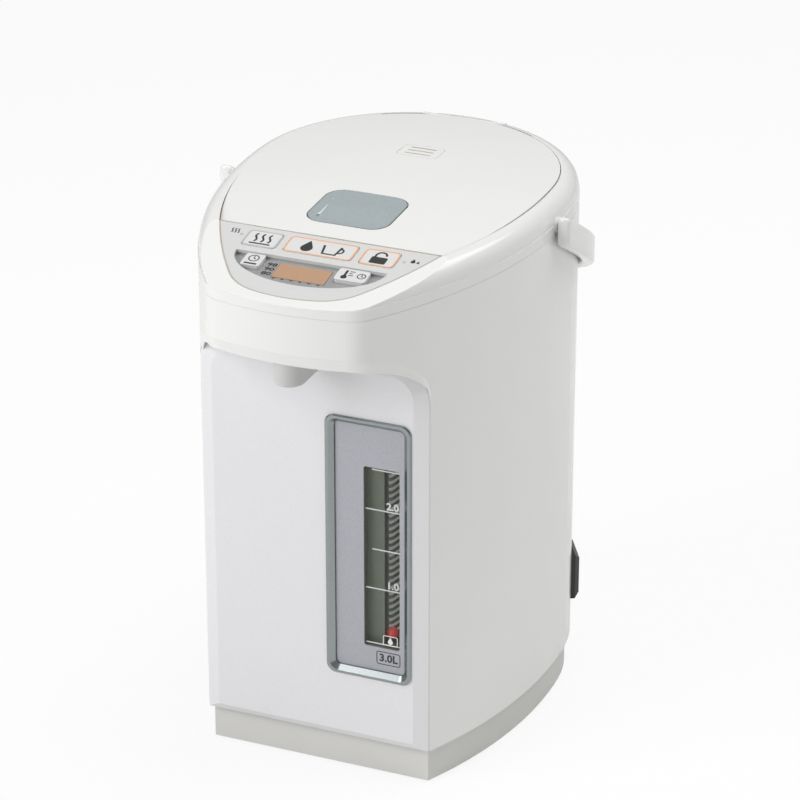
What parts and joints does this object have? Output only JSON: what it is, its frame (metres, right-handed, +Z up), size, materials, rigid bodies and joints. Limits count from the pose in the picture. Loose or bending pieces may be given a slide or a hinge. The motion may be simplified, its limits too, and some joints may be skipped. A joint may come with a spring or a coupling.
{
  "type": "electric thermo pot",
  "caption": "Tall egg-plan electric thermo pot with pumped spout under an overhanging control nose, front water gauge, latched hinged lid and swing-up bail handle.",
  "frame": {"origin": "on the table under the middle of the pot and its folded handle, the bottom centre of the bounding box", "axes": "+X to the right of someone facing the pot, -Y towards that person, +Z up"},
  "size_m": [0.23, 0.308, 0.3445],
  "materials": {
    "white_shell": "glossy white",
    "pearl_panel": "pearl white, half gloss",
    "spout_white": "satin",
    "warm_grey": "warm grey, fine grain",
    "base_plate": "matt",
    "foot_rubber": "matt",
    "pin_steel": "plain",
    "gauge_chrome": "bright frame",
    "plate_silver": "fine silver paint",
    "window_glass": "clear glazing",
    "dark_backing": "dark olive",
    "tube_glass": "clear tube",
    "float_red": "red",
    "control_film": "pale grey film",
    "display_silver": "silver-blue paint",
    "lcd_face": "tan display",
    "board_green": "circuit board",
    "switch_black": "matt",
    "key_film": "pale key with coloured edge",
    "liner_grey": "pale grey",
    "silicone": "translucent grey",
    "lever_silver": "silver-blue paint",
    "vessel_steel": "drawn sheet",
    "heater_aluminium": "cast plate",
    "frame_grey": "plain",
    "pump_plastic": "natural",
    "magnet_iron": "dark",
    "inlet_black": "black",
    "contact_brass": "plain"
  },
  "bodies": {
    "pot": {"casing": "white_shell", "top_frame": "white_shell", "pivot_pins": "pin_steel", "front_panel": "pearl_panel", "spout": "spout_white", "base_skirt": "warm_grey", "bottom_cover": "base_plate", "rubber_feet": "foot_rubber", "base_screws": "pin_steel", "gauge_bezel": "gauge_chrome", "gauge_plate": "plate_silver", "gauge_window": "window_glass", "gauge_backing": "dark_backing", "gauge_tube": "tube_glass", "control_panel": "control_film", "display_tray": "display_silver", "lcd_panel": "lcd_face", "control_board": "board_green", "key_switches": "switch_black", "hinge_pin": "pin_steel", "inner_vessel": "vessel_steel", "vessel_neck": "vessel_steel", "outer_vessel": "vessel_steel", "mouth_packing": "silicone", "heater_plate": "heater_aluminium", "temperature_sensor": "pin_steel", "thermal_cutouts": "switch_black", "lower_frame": "frame_grey", "outlet_nipple": "vessel_steel", "pump_housing": "pump_plastic", "pump_cover": "pump_plastic", "pump_motor": "pin_steel", "pump_hose": "silicone", "delivery_hose": "silicone", "power_board": "board_green", "capacitor_bank": "switch_black", "power_inlet": "inlet_black", "inlet_contacts": "contact_brass"},
    "lid": {"lid_shell": "white_shell", "lid_liner": "liner_grey", "lid_gasket": "silicone", "steam_cover": "white_shell", "steam_duct": "liner_grey", "lever_pin": "pin_steel"},
    "lever": {"latch_lever": "lever_silver"},
    "bolt": {"latch_bolt": "liner_grey"},
    "bail": {"handle": "white_shell"},
    "float": {"float_ball": "float_red"},
    "boil_button": {"boil_key": "key_film"},
    "dispense_button": {"dispense_key": "key_film"},
    "unlock_button": {"unlock_key": "key_film"},
    "timer_button": {"timer_key": "key_film"},
    "temperature_button": {"temperature_key": "key_film"},
    "drive_rotor": {"drive_magnet": "magnet_iron"},
    "pump_rotor": {"impeller": "pump_plastic"}
  },
  "joints": [
    {"name": "lid_hinge", "type": "hinge", "parent": "pot", "child": "lid", "pos_m": [0, 0.1315, 0.3374], "axis": [-1, 0, 0], "range_deg": [0, 95]},
    {"name": "lever_hinge", "type": "hinge", "parent": "lid", "child": "lever", "pos_m": [0, -0.0205, 0.3416], "axis": [-1, 0, 0], "range_deg": [0, 20], "stiffness_Nm_per_rad": 0.05},
    {"name": "bolt_slide", "type": "slide", "parent": "lid", "child": "bolt", "axis": [0, 1, 0], "range_m": [0, 0.005]},
    {"name": "handle_swing", "type": "hinge", "parent": "pot", "child": "bail", "pos_m": [0, 0.0195, 0.3275], "axis": [-1, 0, 0], "range_deg": [-125, 0]},
    {"name": "float_slide", "type": "slide", "parent": "pot", "child": "float", "axis": [0, 0, 1], "range_m": [0, 0.142]},
    {"name": "boil_press", "type": "slide", "parent": "pot", "child": "boil_button", "axis": [0, 0.1736, -0.9848], "range_m": [0, 0.0008], "stiffness_N_per_m": 800, "springref_m": -0.001},
    {"name": "dispense_press", "type": "slide", "parent": "pot", "child": "dispense_button", "axis": [0, 0.1736, -0.9848], "range_m": [0, 0.0008], "stiffness_N_per_m": 800, "springref_m": -0.001},
    {"name": "unlock_press", "type": "slide", "parent": "pot", "child": "unlock_button", "axis": [0, 0.1736, -0.9848], "range_m": [0, 0.0008], "stiffness_N_per_m": 800, "springref_m": -0.001},
    {"name": "timer_press", "type": "slide", "parent": "pot", "child": "timer_button", "axis": [0, 0.1736, -0.9848], "range_m": [0, 0.0008], "stiffness_N_per_m": 800, "springref_m": -0.001},
    {"name": "temperature_press", "type": "slide", "parent": "pot", "child": "temperature_button", "axis": [0, 0.1736, -0.9848], "range_m": [0, 0.0008], "stiffness_N_per_m": 800, "springref_m": -0.001},
    {"name": "drive_spin", "type": "hinge", "parent": "pot", "child": "drive_rotor", "pos_m": [0.0284, -0.0061, 0.0385], "axis": [0, 0, 1], "continuous": true},
    {"name": "impeller_spin", "type": "hinge", "parent": "pot", "child": "pump_rotor", "pos_m": [0.0284, -0.0061, 0.05], "axis": [0, 0, 1], "continuous": true}
  ],
  "couplings": [
    {"joint": "bolt_slide", "follows": "lever_hinge", "m_per_rad": 0.0143},
    {"joint": "impeller_spin", "follows": "drive_spin", "ratio": 1}
  ]
}
